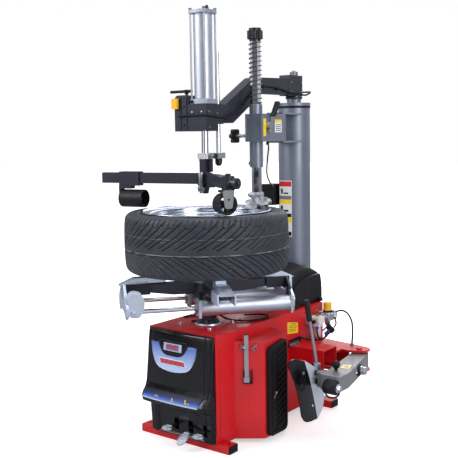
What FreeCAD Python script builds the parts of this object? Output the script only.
import FreeCAD, Part
import math
import os

# Swing-arm tyre changer with a tilting column, in millimetres.
# The origin is on the turntable axis at floor level. +Z is up, the operator stands on the -Y side,
# the column is on the +Y side and the bead breaker is on the +X side.

# ---- driving dimensions ----
CAB_X = 188          # half width of the cabinet
CAB_FRONT = -186
CAB_REAR = 680
CAB_BOTTOM = 20
CAB_TOP = 503
WALL = 4             # sheet thickness of the cabinet

FOOT_H = 35
FRONT_FOOT = (-185, -125)
REAR_FOOT = (580, 640)
FRONT_FOOT_X = 250
REAR_FOOT_X = 296
ANCHOR_X = 230
ANCHOR_R = 7

ARM_ANGLE = 51       # direction of the first turntable arm, degrees from +X
ARM_TIP_R = 365
ARM_TOP = 698
CYL_OFFSET = 120     # clamping cylinders, either side of the table axis
CYL_Z = 600
CYL_R = 36

RIM_FLANGE_R = 277
RIM_BOTTOM = 757
RIM_TOP = 1018
RIM_BORE_R = 245.5
TYRE_R = 364
TYRE_BOTTOM = 752
TYRE_TOP = 1014

COLUMN_Y = 716
COLUMN_R = 80
COLUMN_BOTTOM = 520
COLUMN_TOP = 1485
TILT_Y = 735
TILT_Z = 460
TILT_ROD_Z = 380

POST_X = 80
POST_Y = 275
HEX_AF = 41          # hexagon bar, across flats
HEX_BOTTOM = 1061
HEX_TOP = 1782

HEAD_TOP = 1481      # top of the swing arm's head
PLATE_Z = (1242, 1267)
GUIDE_Y = 95
RAIL_ANGLE = 192
RAIL_Z = (1131, 1180)
RAIL_LENGTH = 541
PRESS_ROLLER_R = 41
PRESS_ROLLER_Z = 1061
PRESS_ROLLER_S = 376   # distance of the press roller from the tool post
BEAD_ROLLER_R = 44
BEAD_ROLLER = (232, -161, 1064)
BEAD_ROLLER_ANGLE = -30

BREAKER_PIVOT = (450, 580)
BREAKER_Z = (238, 305)
BREAKER_ROD_Y = 430
BREAKER_ROD_Z = 270
BLADE_PIVOT = (457, 210)

PEDAL_X = (-30, 52, 136)
PEDAL_AXIS = (-130, 82)

Z = (0, 0, 1)
X = (1, 0, 0)
Y = (0, 1, 0)


# ---- helpers ----
def box(x0, x1, y0, y1, z0, z1):
    return Part.makeBox(x1 - x0, y1 - y0, z1 - z0, FreeCAD.Vector(x0, y0, z0))


def rod(radius, start, direction, length):
    return Part.makeCylinder(radius, length, FreeCAD.Vector(*start), FreeCAD.Vector(*direction))


def tube(outer, inner, start, direction, length):
    return rod(outer, start, direction, length).cut(rod(inner, start, direction, length))


def outline(points, place):
    """Closed wire through 2-D corners (u, v) or (u, v, radius); a radius rounds that corner."""
    corners = [(p[0], p[1], p[2] if len(p) > 2 else 0) for p in points]
    count = len(corners)
    ends = []
    for i in range(count):
        u, v, radius = corners[i]
        before = FreeCAD.Vector(corners[i - 1][0] - u, corners[i - 1][1] - v, 0).normalize()
        after = FreeCAD.Vector(corners[(i + 1) % count][0] - u, corners[(i + 1) % count][1] - v, 0).normalize()
        here = FreeCAD.Vector(u, v, 0)
        half = before.getAngle(after) / 2
        reach = radius / math.tan(half)
        middle = (before + after)
        if radius > 0:
            middle = middle.normalize() * (radius / math.sin(half) - radius)
        ends.append((here + before * reach, here + middle, here + after * reach, radius))
    edges = []
    for i in range(count):
        start, middle, end, radius = ends[i]
        if radius > 0:
            edges.append(Part.Arc(place(start), place(middle), place(end)).toShape())
        following = ends[(i + 1) % count][0]
        if (following - end).Length > 1e-6:
            edges.append(Part.makeLine(place(end), place(following)))
    return Part.Wire(edges)


def prism_xy(points, z0, z1):
    wire = outline(points, lambda p: FreeCAD.Vector(p.x, p.y, z0))
    return Part.Face(wire).extrude(FreeCAD.Vector(0, 0, z1 - z0))


def prism_yz(points, x0, x1):
    wire = outline(points, lambda p: FreeCAD.Vector(x0, p.x, p.y))
    return Part.Face(wire).extrude(FreeCAD.Vector(x1 - x0, 0, 0))


def prism_xz(points, y0, y1):
    wire = outline(points, lambda p: FreeCAD.Vector(p.x, y0, p.y))
    return Part.Face(wire).extrude(FreeCAD.Vector(0, y1 - y0, 0))


def revolved(points):
    """Solid of revolution about Z from corners (radius, z)."""
    wire = outline(points, lambda p: FreeCAD.Vector(p.x, 0, p.y))
    return Part.Face(wire).revolve(FreeCAD.Vector(0, 0, 0), FreeCAD.Vector(0, 0, 1), 360)


def hexagon(across_flats, x, y, z0, z1):
    corner = across_flats / math.sqrt(3)
    points = []
    for i in range(6):
        angle = math.radians(60 * i + 30)
        points.append((x + corner * math.cos(angle), y + corner * math.sin(angle)))
    return prism_xy(points, z0, z1)


def turned(shape, angle, centre=(0, 0, 0), axis=Z):
    copy = shape.copy()
    copy.rotate(FreeCAD.Vector(*centre), FreeCAD.Vector(*axis), angle)
    return copy


def moved(shape, x, y, z):
    copy = shape.copy()
    copy.translate(FreeCAD.Vector(x, y, z))
    return copy


def fused(first, *others):
    return first.multiFuse(list(others)).removeSplitter()


def save(name, *shapes):
    shape = shapes[0] if len(shapes) == 1 else Part.makeCompound(list(shapes))
    shape.exportStep("parts/" + name + ".step")


# ---- cabinet and what is fixed to it ----
BUMP = [(170, -66), (191, -56), (295, 20), (295, 190), (190, 235), (170, 235)]
TABLE_BOLTS = [(x, y) for y in (-95, 68, 135) for x in (-86, 86)]


def bump_roof(x, y):
    """Height of the bump-out's sloping top at a place in plan."""
    return 457 - 0.07 * (x - 191) + 0.02 * (y + 56)


def prism_to_roof(points, z0, drop):
    """Vertical-sided solid from z0 up to the bump-out's roof, lowered by drop."""
    base = [FreeCAD.Vector(x, y, z0) for x, y in points]
    top = [FreeCAD.Vector(x, y, bump_roof(x, y) - drop) for x, y in points]
    faces = [Part.Face(Part.makePolygon(base + base[:1])), Part.Face(Part.makePolygon(top + top[:1]))]
    for i in range(len(points)):
        j = (i + 1) % len(points)
        faces.append(Part.Face(Part.makePolygon([base[i], base[j], top[j], top[i], base[i]])))
    return Part.Solid(Part.Shell(faces))


def foot_bar(half_length, y0, y1):
    bar = box(-half_length, half_length, y0, y1, 0, FOOT_H)
    hollow = box(-half_length, half_length, y0 + 3, y1 - 3, 3, FOOT_H - 3)
    holes = [rod(ANCHOR_R, (side * ANCHOR_X, (y0 + y1) / 2, 0), Z, FOOT_H) for side in (-1, 1)]
    return bar.cut(hollow).cut(holes[0]).cut(holes[1])


def column_bracket():
    """Hinge plates of the column, welded to the cabinet's rear wall."""
    plate = box(-110, 110, CAB_REAR, CAB_REAR + 10, 300, 480)
    plate = plate.cut(box(-40, 40, CAB_REAR - 1, CAB_REAR + 11, TILT_ROD_Z - 45, TILT_ROD_Z + 45))
    cheek = [(CAB_REAR + 10, 330), (775, 430, 15), (775, 478, 15), (CAB_REAR + 10, 478)]
    cheeks = [prism_yz(cheek, x, x + 12) for x in (-102, 90)]
    return fused(plate, *cheeks).cut(rod(15.05, (-120, TILT_Y, TILT_Z), X, 240))


def cabinet():
    outer = box(-CAB_X, CAB_X, CAB_FRONT, CAB_REAR, CAB_BOTTOM, CAB_TOP)
    outer = outer.fuse(prism_to_roof(BUMP, CAB_BOTTOM, 0))
    inner = box(-CAB_X + WALL, CAB_X - WALL, CAB_FRONT + WALL, CAB_REAR - WALL, 0, CAB_TOP - WALL)
    bump_inner = [(x - (WALL if x > 180 else 0), y + (WALL if y < 0 else -WALL if y > 200 else 0))
                  for x, y in BUMP]
    shell = outer.cut(inner.fuse(prism_to_roof(bump_inner, 0, WALL)))
    shell = shell.cut(box(-160, 160, CAB_FRONT - 1, CAB_FRONT + WALL + 1, 45, 450))
    shell = shell.cut(rod(46, (0, 0, CAB_TOP - 10), Z, 20))
    shell = shell.cut(box(CAB_X - 10, CAB_X + 5, 375, 485, 232, 333))
    shell = shell.cut(box(-40, 40, CAB_REAR - 10, CAB_REAR + 5, TILT_ROD_Z - 45, TILT_ROD_Z + 45))
    for y0, y1 in (FRONT_FOOT, REAR_FOOT):
        shell = shell.cut(box(-300, 300, y0 - 0.5, y1 + 0.5, 0, FOOT_H + 0.5))
    for x, y in TABLE_BOLTS:
        shell = shell.cut(rod(6.2, (x, y, CAB_TOP - 10), Z, 20))
    return fused(shell, column_bracket())


def table_bolts():
    bolts = []
    for x, y in TABLE_BOLTS:
        shank = rod(6, (x, y, CAB_TOP - 14), Z, 14)
        head = rod(11, (x, y, CAB_TOP), Z, 3)
        dome = Part.makeSphere(11, FreeCAD.Vector(x, y, CAB_TOP + 1)).common(
            box(x - 9, x + 9, y - 9, y + 9, CAB_TOP + 3, CAB_TOP + 12))
        bolts.append(fused(shank, head, dome))
    return bolts


COVER_PROFILE = [(-186, 499), (-203, 499, 10), (-217, 350, 120), (-224, 262, 30), (-262, 214, 8),
                 (-262, 184, 8), (-208, 164, 10), (-203, 32, 5), (-186, 32)]


def front_cover():
    outer = prism_yz(COVER_PROFILE, -184, 184)
    cavity_profile = [(-185, 494), (-198, 494), (-213, 350), (-219, 260), (-256, 210), (-256, 188),
                      (-203, 169), (-198, 37), (-185, 37)]
    cover = outer.cut(prism_yz(cavity_profile, -180, 180))
    plan = [(-184, -180), (-184, -222, 40), (0, -300, 300), (184, -222, 40), (184, -180)]
    cover = cover.common(prism_xy(plan, 0, 520))
    for x in PEDAL_X:
        cover = cover.cut(box(x - 24, x + 24, -215, -190, 48, 116))
    return cover


def pedal(x):
    """Foot lever: oval plate on an arm that turns about a pin inside the cabinet."""
    axis_y, axis_z = PEDAL_AXIS
    hub = tube(13, 6, (x - 14, axis_y, axis_z), X, 28)
    arm = box(x - 7, x + 7, -232, axis_y - 10, axis_z - 5, axis_z + 5)
    plate = Part.makeCylinder(20, 7, FreeCAD.Vector(x, -245, axis_z - 6))
    plate = plate.fuse(box(x - 20, x + 20, -262, -228, axis_z - 6, axis_z + 1))
    plate = plate.fuse(Part.makeCylinder(20, 7, FreeCAD.Vector(x, -262, axis_z - 6)))
    return fused(hub, arm, plate)


def support_pad():
    outline_points = [(33, 45, 22), (168, 45, 22), (168, 432, 22), (33, 408, 22)]
    return prism_yz(outline_points, 295.2, 318)


WORM_Y = 98
WORM_Z = 415
MOTOR_Y = 270
MOTOR_Z = 150


def gearbox_housing():
    flange = box(-105, 105, -112, 152, 487, CAB_TOP - WALL)
    body = box(-100, 100, -92, 128, 372, 487)
    cavity = rod(82, (0, 0, 386), Z, 88)
    worm_bore = rod(23, (-60, WORM_Y, WORM_Z), X, 120)
    shaft_bore = rod(30.1, (0, 0, 372), Z, 130)
    worm_shaft_bore = rod(12.05, (-101, WORM_Y, WORM_Z), X, 185)
    housing = flange.fuse(body).cut(cavity).cut(worm_bore).cut(shaft_bore).cut(worm_shaft_bore)
    for x, y in TABLE_BOLTS:
        housing = housing.cut(rod(6.1, (x, y, 470), Z, 40))
    return housing.removeSplitter()


def pulley(radius, y, z):
    wheel = rod(radius, (-171, y, z), X, 26)
    groove = tube(radius + 1, radius - 9.5, (-165, y, z), X, 14)
    return wheel.cut(groove)


def worm_shaft():
    shaft = rod(12, (-175, WORM_Y, WORM_Z), X, 255)
    worm = rod(20, (-50, WORM_Y, WORM_Z), X, 100)
    return fused(shaft, worm, pulley(62, WORM_Y, WORM_Z))


def worm_wheel():
    return tube(77.5, 30.05, (0, 0, 400), Z, 30)


def motor():
    body = rod(75, (-118, MOTOR_Y, MOTOR_Z), X, 215)
    bore = rod(9.1, (-119, MOTOR_Y, MOTOR_Z), X, 60)
    bracket = box(60, CAB_X - WALL, MOTOR_Y - 60, MOTOR_Y + 60, MOTOR_Z - 83, MOTOR_Z - 71)
    return fused(body, bracket).cut(bore)


def motor_pulley():
    shaft = rod(9, (-171, MOTOR_Y, MOTOR_Z), X, 110)
    return fused(pulley(35, MOTOR_Y, MOTOR_Z), shaft)


def two_circle_loop(first, r1, second, r2, x0, x1):
    """Solid round two circles joined by their outer tangents, in a plane square to X."""
    a = FreeCAD.Vector(first[0], first[1], 0)
    b = FreeCAD.Vector(second[0], second[1], 0)
    along = (b - a)
    distance = along.Length
    heading = math.atan2(along.y, along.x)
    lean = math.acos((r1 - r2) / distance)

    def on(centre, radius, angle):
        point = centre + FreeCAD.Vector(radius * math.cos(angle), radius * math.sin(angle), 0)
        return FreeCAD.Vector(x0, point.x, point.y)

    edges = [Part.makeLine(on(a, r1, heading + lean), on(b, r2, heading + lean)),
             Part.Arc(on(b, r2, heading + lean), on(b, r2, heading), on(b, r2, heading - lean)).toShape(),
             Part.makeLine(on(b, r2, heading - lean), on(a, r1, heading - lean)),
             Part.Arc(on(a, r1, heading - lean), on(a, r1, heading + math.pi),
                      on(a, r1, heading + lean)).toShape()]
    return Part.Face(Part.Wire(edges)).extrude(FreeCAD.Vector(x1 - x0, 0, 0))


def drive_belt():
    big = (WORM_Y, WORM_Z)
    small = (MOTOR_Y, MOTOR_Z)
    return two_circle_loop(big, 60, small, 33, -164, -152).cut(
        two_circle_loop(big, 53, small, 26, -164, -152))


def breaker_cylinder():
    barrel = rod(88, (-150, BREAKER_ROD_Y, BREAKER_ROD_Z), X, 270)
    bore = rod(84, (-140, BREAKER_ROD_Y, BREAKER_ROD_Z), X, 250)
    gland = rod(11.1, (100, BREAKER_ROD_Y, BREAKER_ROD_Z), X, 30)
    return barrel.cut(bore).cut(gland)


def breaker_rod():
    rod_solid = rod(11, (-60, BREAKER_ROD_Y, BREAKER_ROD_Z), X, 625)
    piston = rod(83.8, (-70, BREAKER_ROD_Y, BREAKER_ROD_Z), X, 18)
    washer = rod(20, (543, BREAKER_ROD_Y, BREAKER_ROD_Z), X, 8)
    nut = turned(hexagon(32, 0, 0, 0, 16), 90, (0, 0, 0), Y)
    nut = moved(nut, 551, BREAKER_ROD_Y, BREAKER_ROD_Z)
    return fused(rod_solid, piston, washer, nut)


def breaker_bracket():
    """Red weldment on the cabinet's side: rod guard and the two hinge plates of the breaker arm."""
    plate = [(CAB_X, 535), (430, 535), (492, 570, 30), (492, 625, 30), (430, 640), (CAB_X, 670)]
    top = prism_xy(plate, 312, 322)
    bottom = prism_xy(plate, 218, 228)
    web = box(CAB_X, 380, 600, 612, 228, 312)
    guard = box(CAB_X, 378, 372, 490, 226, 346).cut(box(CAB_X - 1, 379, 378, 484, 225, 340))
    link = box(CAB_X, 378, 490, 540, 312, 322)
    pin = rod(14, (BREAKER_PIVOT[0], BREAKER_PIVOT[1], 210), Z, 120)
    return fused(top, bottom, web, guard, link, pin)


ARM_PLAN = [(412, 608, 20), (488, 608, 20), (575, 262), (578, 172, 10), (480, 172, 10), (476, 262)]
ARM_PLAN_INNER = [(420, 600), (482, 600), (568, 262), (571, 179), (487, 179), (484, 262)]


def breaker_arm():
    """Channel open below, hinged at its rear end, with ears for the blade at the front."""
    z0, z1 = BREAKER_Z
    shell = prism_xy(ARM_PLAN, z0, z1).cut(prism_xy(ARM_PLAN_INNER, z0 - 1, z1 - 6))
    boss = rod(30, (*BREAKER_PIVOT, z0), Z, z1 - z0)
    ear_plan = [(485, 190), (457, 190, 18), (438, 210), (457, 230, 18), (485, 230)]
    ears = [prism_xy(ear_plan, z0, z0 + 8), prism_xy(ear_plan, z1 - 8, z1)]
    pin = rod(8, (*BLADE_PIVOT, z0), Z, z1 - z0)
    arm = fused(shell, boss, pin, *ears)
    arm = arm.cut(rod(14.1, (*BREAKER_PIVOT, z0 - 1), Z, z1 - z0 + 2))
    return arm.cut(box(400, 600, BREAKER_ROD_Y - 50, BREAKER_ROD_Y + 16, BREAKER_ROD_Z - 13, BREAKER_ROD_Z + 13))


BLADE_CENTRE = (130, 150)
BLADE_R = 300
BLADE_OUTLINE = [(8, 388, 18), (95, 392, 60), (176, 356, 70), (290, 250, 80), (312, 160, 60),
                 (250, 82, 20), (112, 82, 30), (50, 180, 200), (12, 330, 60)]


def blade_shell(r_out, r_in, points):
    return tube(r_out, r_in, (*BLADE_CENTRE, 60), Z, 350).common(prism_yz(points, 330, 445))


def blade():
    sheet = blade_shell(BLADE_R, BLADE_R - 7, BLADE_OUTLINE)
    lug = box(426, 447, 196, 224, 249, 294)
    lug = lug.cut(rod(BLADE_R - 3, (*BLADE_CENTRE, 240), Z, 60))
    eye = rod(16, (*BLADE_PIVOT, 249), Z, 45)
    arm = box(440, 457, 196, 224, 249, 294)
    return fused(sheet, lug, arm, eye).cut(rod(8.1, (*BLADE_PIVOT, 240), Z, 60))


def blade_cover():
    points = [(-2, 396, 18), (85, 400, 30), (112, 340, 60), (150, 180, 200), (165, 74), (104, 74, 30),
              (40, 180, 200), (2, 330, 60)]
    near = blade_shell(BLADE_R - 7.1, BLADE_R - 13, points)
    return near


def blade_handle():
    bottom = FreeCAD.Vector(435, 225, 314)
    top = FreeCAD.Vector(436, 140, 625)
    along = top - bottom
    bar = Part.makeCylinder(7, along.Length, bottom, along)
    grip = Part.makeCylinder(12, 100, top - along.normalize() * 92, along)
    foot = box(418, 444, 212, 240, 307, 332)
    handle = fused(bar, grip, foot)
    return handle.cut(rod(BLADE_R + 0.1, (*BLADE_CENTRE, 200), Z, 200))


def pressure_gauge():
    stem = rod(6, (246, 656, 447), Y, 14)
    case = rod(22, (246, 670, 447), (0.75, 0.1, 0.05), 20)
    return fused(case, stem)


def air_unit():
    x = 246
    backplate = box(CAB_X, 196, 478, 664, 372, 470)
    stub = box(196, x, 540, 560, 430, 450)
    filter_head = box(x - 24, x + 24, 505, 562, 428, 466)
    bowl = rod(20, (x, 533, 358), Z, 70)
    dome = rod(9, (x, 533, 466), Z, 18)
    link = box(x - 12, x + 12, 562, 602, 438, 456)
    regulator = box(x - 24, x + 24, 602, 656, 428, 466)
    neck = rod(20, (x, 629, 466), Z, 6)
    lower = rod(17, (x, 629, 396), Z, 32)
    return fused(backplate, stub, filter_head, bowl, dome, link, regulator, neck, lower, pressure_gauge())


def regulator_knob():
    return rod(21, (246, 629, 472.2), Z, 44)


def tyre_lever():
    """Flat bar hanging on the bump-out's angled face."""
    bar = box(-9, 9, -9, -3, 276, 484)
    tip = box(-12, 12, -12, -3, 276, 300)
    hook = box(-7, 7, -14, -3, 484, 494)
    lever = fused(bar, tip, hook)
    return moved(turned(lever, 36.2), 232, -27, 0)


# ---- turntable, wheel and drive ----
def spider():
    side = [(0, 648), (162, 648), (ARM_TIP_R, 676), (ARM_TIP_R, ARM_TOP), (0, ARM_TOP)]
    plan = [(0, -38), (ARM_TIP_R, -23, 10), (ARM_TIP_R, 23, 10), (0, 38)]
    arm = prism_xz(side, -40, 40).common(prism_xy(plan, 600, 720))
    arms = [turned(arm, ARM_ANGLE + 90 * i) for i in range(4)]
    hub = rod(75, (0, 0, 642), Z, 56)
    shaft = rod(30, (0, 0, 378), Z, 265)
    cone = Part.makeCone(58, 38, 22, FreeCAD.Vector(0, 0, 506))
    cone = fused(cone, rod(38, (0, 0, 528), Z, 114))
    return fused(hub, shaft, cone, *arms)


JAW_SIDE = [(192, 699), (398, 699), (332, 729), (277, 729), (277, 755), (245, 755), (245, 786, 4),
            (229, 786, 4), (207, 735), (203, 713), (192, 711)]


def jaw_slide():
    """Slide, wedge and claw of one jaw, on the arm that points along +X."""
    wedge = prism_xz(JAW_SIDE, -30, 30)
    taper = [(190, -17), (400, -30), (400, 30), (190, 17)]
    wedge = wedge.common(prism_xy(taper, 690, 800))
    cheeks = [box(264, 384, side * 36 - 3, side * 36 + 3, 656, 705) for side in (-1, 1)]
    top = box(264, 384, -39, 39, 699, 705)
    return fused(wedge, top, *cheeks)


def cross_plate(r0, r1):
    """Hanging plate that carries both clamping cylinders' ends."""
    points = [(-45, 705), (45, 705), (152, 628, 18), (152, 584, 18), (118, 566, 18), (60, 590, 20),
              (-60, 590, 20), (-118, 566, 18), (-152, 584, 18), (-152, 628, 18)]
    plate = prism_yz(points, r0, r1)
    return plate.cut(box(r0 - 1, r1 + 1, -33, 33, 640, 699))


def clamp_rod(side):
    rod_solid = rod(10, (-372, side * CYL_OFFSET, CYL_Z), X, 332)
    piston = rod(33, (-45, side * CYL_OFFSET, CYL_Z), X, 20)
    return turned(fused(rod_solid, piston), ARM_ANGLE)


def clamp_cylinder(side):
    y = side * CYL_OFFSET
    barrel = tube(CYL_R, 33.3, (-60, y, CYL_Z), X, 402)
    front = box(-72, -60, y - 38, y + 38, CYL_Z - 38, CYL_Z + 38).cut(rod(10.1, (-80, y, CYL_Z), X, 30))
    rear = box(342, 352, y - 38, y + 38, CYL_Z - 38, CYL_Z + 38)
    return turned(fused(barrel, front, rear), ARM_ANGLE)


def rim():
    section = [(RIM_FLANGE_R, RIM_BOTTOM), (RIM_FLANGE_R, 769, 3), (256, 772, 3), (255, 800, 4), (238, 838, 10),
               (238, 925, 10), (255, 975, 4), (256, 1003, 3), (RIM_FLANGE_R, 1006, 3), (RIM_FLANGE_R, RIM_TOP),
               (268, RIM_TOP, 3), (262, 1010), (248, 1003, 3), (247, 975, 4), (231, 925, 10), (231, 838, 10),
               (RIM_BORE_R + 1, 800, 4), (RIM_BORE_R + 1, 770, 3), (266, RIM_BOTTOM)]
    barrel = revolved(section)
    hub = tube(75, 33, (0, 0, 826), Z, 34)
    spoke = prism_xy([(60, -15), (234, -24), (234, 24), (60, 15)], 830, 852)
    spokes = [turned(spoke, 36 * i) for i in range(10)]
    wheel = fused(barrel, hub, *spokes)
    for i in range(5):
        hole = turned(rod(8, (57, 0, 820), Z, 50), 72 * i + 18)
        wheel = wheel.cut(hole)
    return wheel


def tyre():
    section = [(257, 774), (280, 772, 6), (302, TYRE_BOTTOM, 20), (345, TYRE_BOTTOM, 22), (TYRE_R, 790, 30),
               (TYRE_R, 976, 30), (345, TYRE_TOP, 22), (302, TYRE_TOP, 20), (280, 1003, 6), (257, 1001),
               (257, 986), (288, 986, 10), (310, 1000, 14), (335, 998, 16), (349, 968, 20), (349, 798, 20),
               (335, 768, 16), (310, 766, 14), (288, 789, 10), (257, 789)]
    return revolved(section)


# ---- column ----
def column_top():
    """Cap plate, bearing seat and the spindle that the swing arm turns on."""
    cap = rod(84, (0, COLUMN_Y, COLUMN_TOP), Z, 15)
    seat = rod(36, (0, COLUMN_Y, 1500), Z, 34.8)
    spindle = rod(20, (0, COLUMN_Y, 1534), Z, 122)
    nut = hexagon(36, 0, COLUMN_Y, 1641, 1652)
    return fused(cap, seat, spindle, nut)


def column_tube():
    """Round column weldment: foot plate, hinge lugs, tilt lever, cap plate and spindle."""
    shaft = tube(COLUMN_R, COLUMN_R - 5, (0, COLUMN_Y, COLUMN_BOTTOM), Z, COLUMN_TOP - COLUMN_BOTTOM)
    foot = box(-88, 88, 628, 800, COLUMN_BOTTOM - 12, COLUMN_BOTTOM)
    lug = [(712, COLUMN_BOTTOM - 12), (700, TILT_Z, 20), (720, 432, 15), (755, 432, 15), (772, TILT_Z, 20),
           (772, COLUMN_BOTTOM - 12)]
    lugs = [prism_yz(lug, x, x + 24) for x in (-86, 62)]
    lever = prism_yz([(722, COLUMN_BOTTOM - 12), (722, TILT_ROD_Z - 25, 8), (750, TILT_ROD_Z - 25, 8),
                      (752, COLUMN_BOTTOM - 12)], -12, 12)
    body = fused(shaft, foot, lever, column_top(), *lugs)
    return body.cut(rod(15.05, (-120, TILT_Y, TILT_Z), X, 240))


def tilt_cylinder():
    barrel = rod(48, (0, 540, TILT_ROD_Z), Y, 122)
    bore = rod(42, (0, 548, TILT_ROD_Z), Y, 104)
    gland = rod(13.1, (0, 640, TILT_ROD_Z), Y, 30)
    bracket = box(-70, 70, 556, 644, TILT_ROD_Z - 62, TILT_ROD_Z - 46)
    wall_plate = box(-184, -70, 570, 630, TILT_ROD_Z - 62, TILT_ROD_Z - 54)
    return fused(barrel.cut(bore).cut(gland), bracket, wall_plate)


def tilt_rod():
    shaft = rod(13, (0, 610, TILT_ROD_Z), Y, 106)
    piston = rod(41.8, (0, 602, TILT_ROD_Z), Y, 14)
    return fused(shaft, piston)


def column_cover():
    """Moulded shroud round the column's foot, open behind so that the column can tilt."""
    side = [(374, CAB_TOP), (374, 530, 20), (430, 556, 30), (486, 655, 60), (590, 712, 50), (700, 700, 40),
            (728, 560, 20), (728, CAB_TOP)]
    front = [(-172, CAB_TOP), (-172, 640, 60), (-112, 716, 50), (112, 716, 50), (172, 640, 60), (172, CAB_TOP)]
    outer = prism_yz(side, -180, 180).common(prism_xz(front, 360, 740))
    side_in = [(378, CAB_TOP - 1), (378, 527, 20), (434, 552, 30), (490, 650, 60), (592, 707, 50), (728, 696, 40),
               (760, 560, 20), (760, CAB_TOP - 1)]
    front_in = [(-168, CAB_TOP - 1), (-168, 638, 60), (-110, 711, 50), (110, 711, 50), (168, 638, 60),
                (168, CAB_TOP - 1)]
    inner = prism_yz(side_in, -180, 180).common(prism_xz(front_in, 360, 770))
    return outer.cut(inner).cut(box(-93, 93, 622, 800, 500, 760))


# ---- mount post ----
def post_arm():
    """Box arm with its sleeve, collar and the two bracket plates welded to the column."""
    beam = box(47, 144, 235, 425, 1313, 1439).cut(box(55, 136, 243, 417, 1321, 1431))
    sleeve = rod(31, (POST_X, POST_Y, 1195), Z, 118)
    eye = tube(11, 5, (POST_X - 40, POST_Y + 6, 1212), Y, 8)
    eye = eye.fuse(box(POST_X - 34, POST_X - 26, POST_Y + 6, POST_Y + 14, 1204, 1220))
    collar = rod(30, (POST_X, POST_Y, 1439), Z, 44)
    plan = [(49, 405), (142, 405), (66, 690), (-66, 690)]
    plates = [prism_xy(plan, z, z + 8) for z in (1439, 1305)]
    root = prism_xy([(56, 421), (88, 421), (-16, 672), (-54, 672)], 1313, 1439)
    body = fused(beam, sleeve, collar, eye, *plates, root)
    body = body.cut(rod(COLUMN_R + 0.05, (0, COLUMN_Y, 1200), Z, 300))
    body = body.cut(hexagon(HEX_AF + 0.2, POST_X, POST_Y, 1190, 1490))
    return body.cut(rod(8.1, (30, 262, 1340), X, 28))


def mount_bar():
    bar = hexagon(HEX_AF, POST_X, POST_Y, HEX_BOTTOM, HEX_TOP)
    knob_neck = rod(26, (POST_X, POST_Y, 1767), Z, 14)
    lobes = [rod(13, (POST_X + 25 * math.cos(math.radians(a)), POST_Y + 25 * math.sin(math.radians(a)), 1777),
                 Z, 36) for a in range(0, 360, 60)]
    crown = rod(28, (POST_X, POST_Y, 1777), Z, 48)
    return fused(bar, knob_neck, crown, *lobes)


def mount_head():
    """Duck head: a curved shoe over the rim's edge, on a socket for the bar."""
    lean = math.degrees(math.atan2(POST_Y, POST_X))
    wedge = prism_xy([(0, 0), (400, -100), (400, 66)], 1000, 1060)
    shoe = tube(312, 222, (0, 0, 1024), Z, 22).common(turned(wedge, lean))
    web = turned(box(238, 304, -34, 22, 1040, 1056), lean)
    socket = rod(30, (POST_X, POST_Y, 1036), Z, 44)
    horn = turned(rod(22, (292, 36, 1036), Z, 32), lean)
    head = fused(shoe, web, socket, horn)
    return head.cut(hexagon(HEX_AF + 0.1, POST_X, POST_Y, HEX_BOTTOM, 1100))


def post_spring():
    pitch = 21
    helix = Part.makeHelix(pitch, 1762 - 1488, 28)
    helix.translate(FreeCAD.Vector(POST_X, POST_Y, 1488))
    ring = Part.Wire(Part.makeCircle(2.2, FreeCAD.Vector(POST_X + 28, POST_Y, 1488), FreeCAD.Vector(0, 1, 0)))
    return Part.Wire(helix).makePipeShell([ring], True, True)


def lock_lever():
    hub = rod(15, (144.5, 276, 1388), X, 18)
    lever = prism_yz([(270, 1352, 5), (286, 1352, 5), (314, 1438), (298, 1438)], 151, 159)
    grip = prism_yz([(293, 1428, 6), (313, 1426, 6), (353, 1490, 9), (333, 1498, 9)], 147, 165)
    return fused(hub, lever, grip)


def hand_knob():
    shaft = rod(8, (-30, 262, 1340), X, 87)
    hub = rod(22, (-44, 262, 1340), X, 22)
    lobes = [rod(11, (-42, 262 + 24 * math.cos(math.radians(a)), 1340 + 24 * math.sin(math.radians(a))), X, 18)
             for a in range(0, 360, 60)]
    return fused(shaft, hub, *lobes)


# ---- swing arm and helper unit ----
def swing_arm():
    """Gooseneck with the pivot block at the column and the square head over the wheel."""
    neck = prism_yz([(660, 1539), (402, 1539), (172, 1399), (60, 1399), (60, 1480), (114, 1480),
                     (340, 1611, 30), (660, 1620)], -27, 27)
    block = prism_xy([(-31, 628, 5), (31, 628, 5), (31, 750, 5), (-31, 750, 5)], 1535, 1636)
    profile = [(-47, 1364), (38, 1364), (38, 1394), (75, 1394), (75, HEAD_TOP), (-47, HEAD_TOP)]
    hollow = [(-41, 1370), (32, 1370), (32, 1400), (69, 1400), (69, HEAD_TOP - 8), (-41, HEAD_TOP - 8)]
    head = prism_yz(profile, -50, 47).cut(prism_yz(hollow, -44, 41))
    arm = fused(neck, block, head)
    arm = arm.cut(rod(15.1, (0, 0, 1360), Z, 130))
    arm = arm.cut(rod(10.1, (0, GUIDE_Y, 1360), Z, 130))
    return arm.cut(rod(20.05, (0, COLUMN_Y, 1530), Z, 120))


def valve_box():
    profile = [(-132, 1364), (-132, 1522, 22), (-60, 1522, 6), (-50.2, 1482), (-50.2, 1364)]
    inner = [(-129, 1367), (-129, 1519, 20), (-62, 1519, 5), (-53.2, 1480), (-53.2, 1367)]
    shell = prism_xz(profile, -47, 110).cut(prism_xz(inner, -44, 107))
    shell = shell.cut(box(-128, -110, -50, -40, 1474, 1498))
    return shell.cut(rod(6.1, (-100, 0, 1500), Z, 40))


def helper_button():
    plate = prism_xz([(-136, 1462, 4), (-136, 1508, 4), (-104, 1508), (-104, 1462)], -64, -52)
    return fused(plate, box(-126, -112, -52, -40, 1476, 1496))


def helper_handle():
    stem = rod(6, (-100, 0, 1500), Z, 36)
    bar = rod(6.5, (-193, 0, 1541), X, 125)
    boss = rod(10, (-100, 0, 1530), Z, 18)
    return fused(stem, bar, boss)


CAP_HALF = 47
TIE = 38


def helper_cylinder():
    return tube(41.5, 38, (0, 0, 1504), Z, 356)


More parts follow.
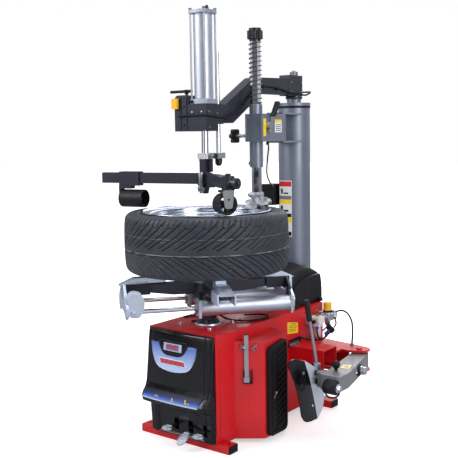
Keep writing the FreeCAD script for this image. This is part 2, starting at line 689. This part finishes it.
def end_cap(z0, z1):
    points = [(-CAP_HALF, -CAP_HALF, 12), (CAP_HALF, -CAP_HALF, 12), (CAP_HALF, CAP_HALF, 12),
              (-CAP_HALF, CAP_HALF, 12)]
    cap = prism_xy(points, z0, z1)
    for x in (-TIE, TIE):
        for y in (-TIE, TIE):
            cap = cap.cut(rod(4.1, (x, y, z0 - 1), Z, z1 - z0 + 2))
    return cap


def helper_end_caps():
    bottom = end_cap(HEAD_TOP, 1504).cut(rod(15.1, (0, 0, 1470), Z, 40))
    top = end_cap(1860, 1885).fuse(rod(9, (0, 0, 1885), Z, 11))
    return [bottom, top]


def tie_rods():
    rods = []
    for x in (-TIE, TIE):
        for y in (-TIE, TIE):
            rods.append(fused(rod(4, (x, y, HEAD_TOP + 1), Z, 410), hexagon(13, x, y, 1885.1, 1892)))
    return rods


def helper_piston():
    shaft = rod(15, (0, 0, PLATE_Z[1]), Z, 330)
    piston = rod(37.8, (0, 0, 1588), Z, 22)
    return fused(shaft, piston)


def guide_rod():
    shaft = rod(10, (0, GUIDE_Y, 1224), Z, 490)
    nut = rod(16, (0, GUIDE_Y, 1218), Z, 23.8)
    tip = Part.makeCone(9, 15, 10, FreeCAD.Vector(0, GUIDE_Y, 1208))
    return fused(shaft, nut, tip)


def clamp_plate():
    points = [(-28, -24, 10), (28, -24, 10), (24, 120, 10), (-24, 120, 10)]
    plate = prism_xy(points, *PLATE_Z)
    knob = rod(6, (22, 20, 1254), X, 16).fuse(rod(11, (38, 20, 1254), X, 10))
    return fused(plate, knob).cut(rod(10.05, (0, GUIDE_Y, 1200), Z, 100))


def tool_post():
    square = box(-18, 18, -20, 20, RAIL_Z[1] + 2, PLATE_Z[0])
    core = rod(17, (0, 0, 1110), Z, 75)
    collar = rod(24, (0, 0, 1118), Z, 14)
    cone = Part.makeCone(12, 17, 22, FreeCAD.Vector(0, 0, 1089))
    side = box(18, 42, -4, 2, RAIL_Z[1] + 6, PLATE_Z[0])
    return fused(square, core, collar, cone, side)


def press_rail():
    ring = tube(31, 17.1, (0, 0, 1160), Z, 20)
    bar = box(34, RAIL_LENGTH, -14, 14, *RAIL_Z)
    root = box(20, 60, -14, 14, 1160, RAIL_Z[1]).cut(rod(17.1, (0, 0, 1100), Z, 100))
    return turned(fused(ring, bar, root), RAIL_ANGLE)


def rail_sleeve():
    """Sliding box on the rail with the bracket and axle of the press roller."""
    s0, s1 = PRESS_ROLLER_S - 40, PRESS_ROLLER_S + 67
    end = PRESS_ROLLER_S + 60
    sleeve = box(s0, s1, -21, 21, RAIL_Z[0] - 11, RAIL_Z[1] + 5)
    sleeve = sleeve.cut(box(s0 - 1, s1 + 1, -14.1, 14.1, RAIL_Z[0] - 0.1, RAIL_Z[1] + 0.1))
    hanger = box(end - 56, end + 10, -18, 18, 1106, RAIL_Z[0] - 11)
    plate = box(end + 2, end + 10, -18, 18, PRESS_ROLLER_Z - 14, 1108)
    axle = rod(8, (end - 100, 0, PRESS_ROLLER_Z), X, 104)
    return turned(fused(sleeve, hanger, plate, axle), RAIL_ANGLE)


def press_roller():
    s0 = PRESS_ROLLER_S - 60
    shell = tube(PRESS_ROLLER_R, 35, (s0, 0, PRESS_ROLLER_Z), X, 120)
    web = rod(36, (s0 + 56, 0, PRESS_ROLLER_Z), X, 12)
    hub = rod(14, (s0 + 34, 0, PRESS_ROLLER_Z), X, 66)
    return turned(fused(shell, web, hub).cut(rod(8.1, (s0, 0, PRESS_ROLLER_Z), X, 122)), RAIL_ANGLE)


def roller_arm():
    """Forged arm on the tool post with the one-sided fork of the bead roller."""
    cx, cy, cz = BEAD_ROLLER
    bx, by = 246, -155
    ring = tube(31, 17.1, (0, 0, 1136), Z, 23)
    plan = [(18, -26, 5), (30, 6, 5), (bx + 12, by + 30, 16), (bx - 14, by - 22, 16)]
    side = [(0, 1124), (0, 1178), (200, 1178, 20), (300, 1170), (300, 1128), (205, 1128, 20), (150, 1140, 40),
            (95, 1136, 20), (60, 1118, 8), (40, 1118)]
    arch = turned(prism_xz(side, -60, 60), math.degrees(math.atan2(by, bx)))
    beam = prism_xy(plan, 1110, 1190).common(arch)
    beam = beam.cut(rod(32, (0, 0, 1159.5), Z, 40)).cut(rod(25, (0, 0, 1100), Z, 36))
    beam = beam.cut(rod(17.1, (0, 0, 1100), Z, 100))
    boss = rod(27, (bx, by, 1120), Z, 58)
    hinge = rod(23, (bx, by, 1148), X, 50)
    top = box(-14, 42, -24, 24, 1112, 1122)
    cheek = prism_yz([(-26, 1122), (26, 1122), (14, cz - 16, 12), (-14, cz - 16, 12)], 36, 42)
    axle = rod(7, (-20, 0, cz), X, 60)
    fork = turned(fused(top, cheek, axle), BEAD_ROLLER_ANGLE)
    return fused(ring, beam, boss, hinge, moved(fork, cx, cy, 0))


def bead_roller():
    cx, cy, cz = BEAD_ROLLER
    shell = tube(BEAD_ROLLER_R, 35, (-30, 0, cz), X, 62)
    hub = rod(13, (-30, 0, cz), X, 62)
    spokes = [turned(box(-4, 30, -3, 3, cz + 8, cz + 38), 60 * i, (0, 0, cz), X) for i in range(6)]
    roller = fused(shell, hub, *spokes).cut(rod(7.1, (-40, 0, cz), X, 90))
    return moved(turned(roller, BEAD_ROLLER_ANGLE), cx, cy, 0)


# ---- write every sub-part ----
os.makedirs("parts", exist_ok=True)

save("cabinet", cabinet())
save("foot_bars", foot_bar(FRONT_FOOT_X, *FRONT_FOOT), foot_bar(REAR_FOOT_X, *REAR_FOOT))
save("front_cover", front_cover())
save("support_pad", support_pad())
save("table_bolts", *table_bolts())
save("gearbox_housing", gearbox_housing())
save("worm_shaft", worm_shaft())
save("worm_wheel", worm_wheel())
save("motor", motor())
save("motor_pulley", motor_pulley())
save("drive_belt", drive_belt())
save("breaker_cylinder", breaker_cylinder())
save("tilt_cylinder", tilt_cylinder())
save("tilt_rod", tilt_rod())
save("air_unit", air_unit())
save("regulator_knob", regulator_knob())
save("tyre_lever", tyre_lever())
for pedal_name, pedal_x in zip(("jaw_pedal", "breaker_pedal", "turntable_pedal"), PEDAL_X):
    save(pedal_name, pedal(pedal_x))

save("spider", spider())
jaw = jaw_slide()
save("jaw_1", turned(fused(jaw, cross_plate(352.2, 362)), ARM_ANGLE))
save("jaw_2", turned(jaw, ARM_ANGLE + 90))
save("jaw_3", turned(fused(jaw, cross_plate(372.2, 384)), ARM_ANGLE + 180))
save("jaw_4", turned(jaw, ARM_ANGLE + 270))
save("clamp_rods", clamp_rod(-1), clamp_rod(1))
save("clamp_cylinders", clamp_cylinder(-1), clamp_cylinder(1))
save("rim", rim())
save("tyre", tyre())

save("column_hinge_pin", rod(15, (-108, TILT_Y, TILT_Z), X, 216))
save("column_tube", column_tube())
save("column_cover", column_cover())

save("post_arm", post_arm())
save("mount_bar", mount_bar())
save("mount_head", mount_head())
save("post_spring", post_spring())
save("lock_lever", lock_lever())
save("hand_knob", hand_knob())

save("swing_arm", swing_arm())
save("valve_box", valve_box())
save("helper_button", helper_button())
save("helper_handle", helper_handle())
save("helper_cylinder", helper_cylinder())
save("helper_end_caps", *helper_end_caps())
save("tie_rods", *tie_rods())
save("helper_piston", helper_piston())
save("guide_rod", guide_rod())
save("clamp_plate", clamp_plate())
save("tool_post", tool_post())
save("press_rail", press_rail())
save("rail_sleeve", rail_sleeve())
save("press_roller", press_roller())
save("roller_arm", roller_arm())
save("bead_roller", bead_roller())

save("breaker_bracket", breaker_bracket())
save("breaker_arm", breaker_arm())
save("breaker_rod", breaker_rod())
save("blade", blade())
save("blade_cover", blade_cover())
save("blade_handle", blade_handle())
